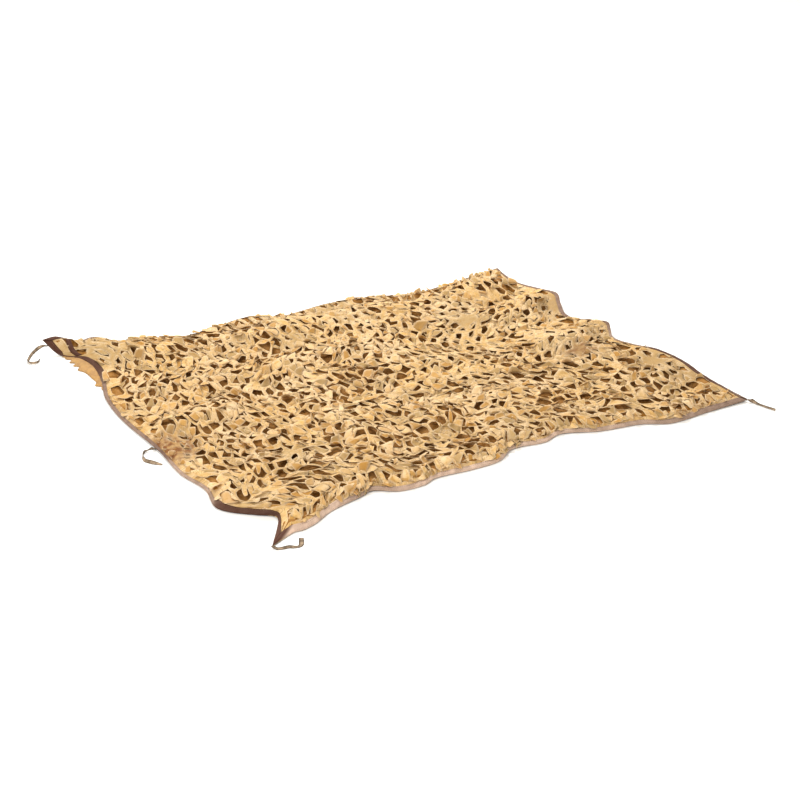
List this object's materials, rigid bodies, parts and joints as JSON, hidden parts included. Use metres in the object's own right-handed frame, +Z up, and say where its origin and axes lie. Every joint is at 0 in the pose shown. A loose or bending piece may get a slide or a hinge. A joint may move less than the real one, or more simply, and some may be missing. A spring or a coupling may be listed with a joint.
{
  "type": "shade net",
  "caption": "Leaf-cut camouflage shade net, sand over brown cloth, with taped edges and short tape ties, lying loosely spread on the ground.",
  "frame": {"origin": "centre of the net's bounding box in plan, at the surface that it lies on", "axes": "+X along the net's longer side, +Y across it, +Z up"},
  "size_m": [3.1059, 2.733, 0.0907],
  "materials": {
    "sand_cloth": "matt woven",
    "brown_cloth": "matt woven",
    "binding_tape": "woven tape",
    "tie_tape": "woven tape"
  },
  "bodies": {
    "root": {"net_cloth": "sand_cloth", "under_cloth": "brown_cloth", "binding_left": "binding_tape", "binding_right": "binding_tape", "binding_front": "binding_tape", "binding_back": "binding_tape", "tie_far_left": "tie_tape", "tie_left_side": "tie_tape", "tie_near": "tie_tape", "tie_right": "tie_tape"}
  },
  "joints": []
}
